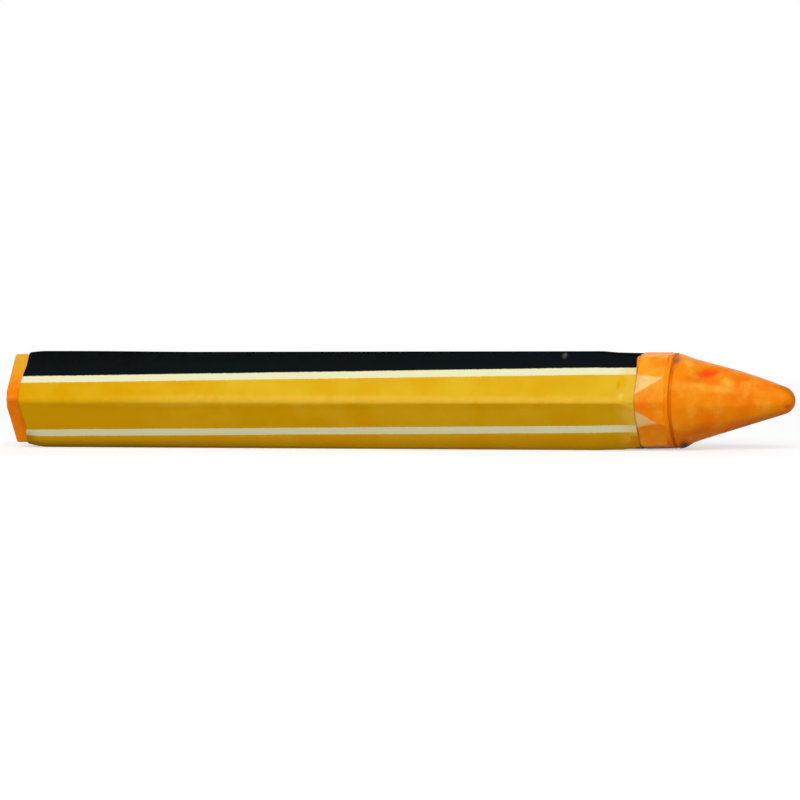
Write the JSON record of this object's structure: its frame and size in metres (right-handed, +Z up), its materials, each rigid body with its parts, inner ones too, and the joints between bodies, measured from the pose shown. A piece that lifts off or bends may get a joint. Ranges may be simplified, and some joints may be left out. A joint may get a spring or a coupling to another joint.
{
  "type": "marking crayon",
  "caption": "Hexagonal wax marking crayon with a turned groove, round cone point and flat butt, wrapped in a pasted striped paper label.",
  "frame": {"origin": "on the surface that the crayon lies on, under the middle of its footprint", "axes": "+X along the crayon towards its point, +Z up from the label's bottom flat"},
  "size_m": [0.1144, 0.0158, 0.014],
  "materials": {
    "wax": "satin cast wax",
    "label_paper": "smooth printed paper",
    "paste": "dried paste"
  },
  "bodies": {
    "root": {"wax_stick": "wax", "paper_label": "label_paper", "pickup_paste": "paste", "lap_paste": "paste"}
  },
  "joints": []
}
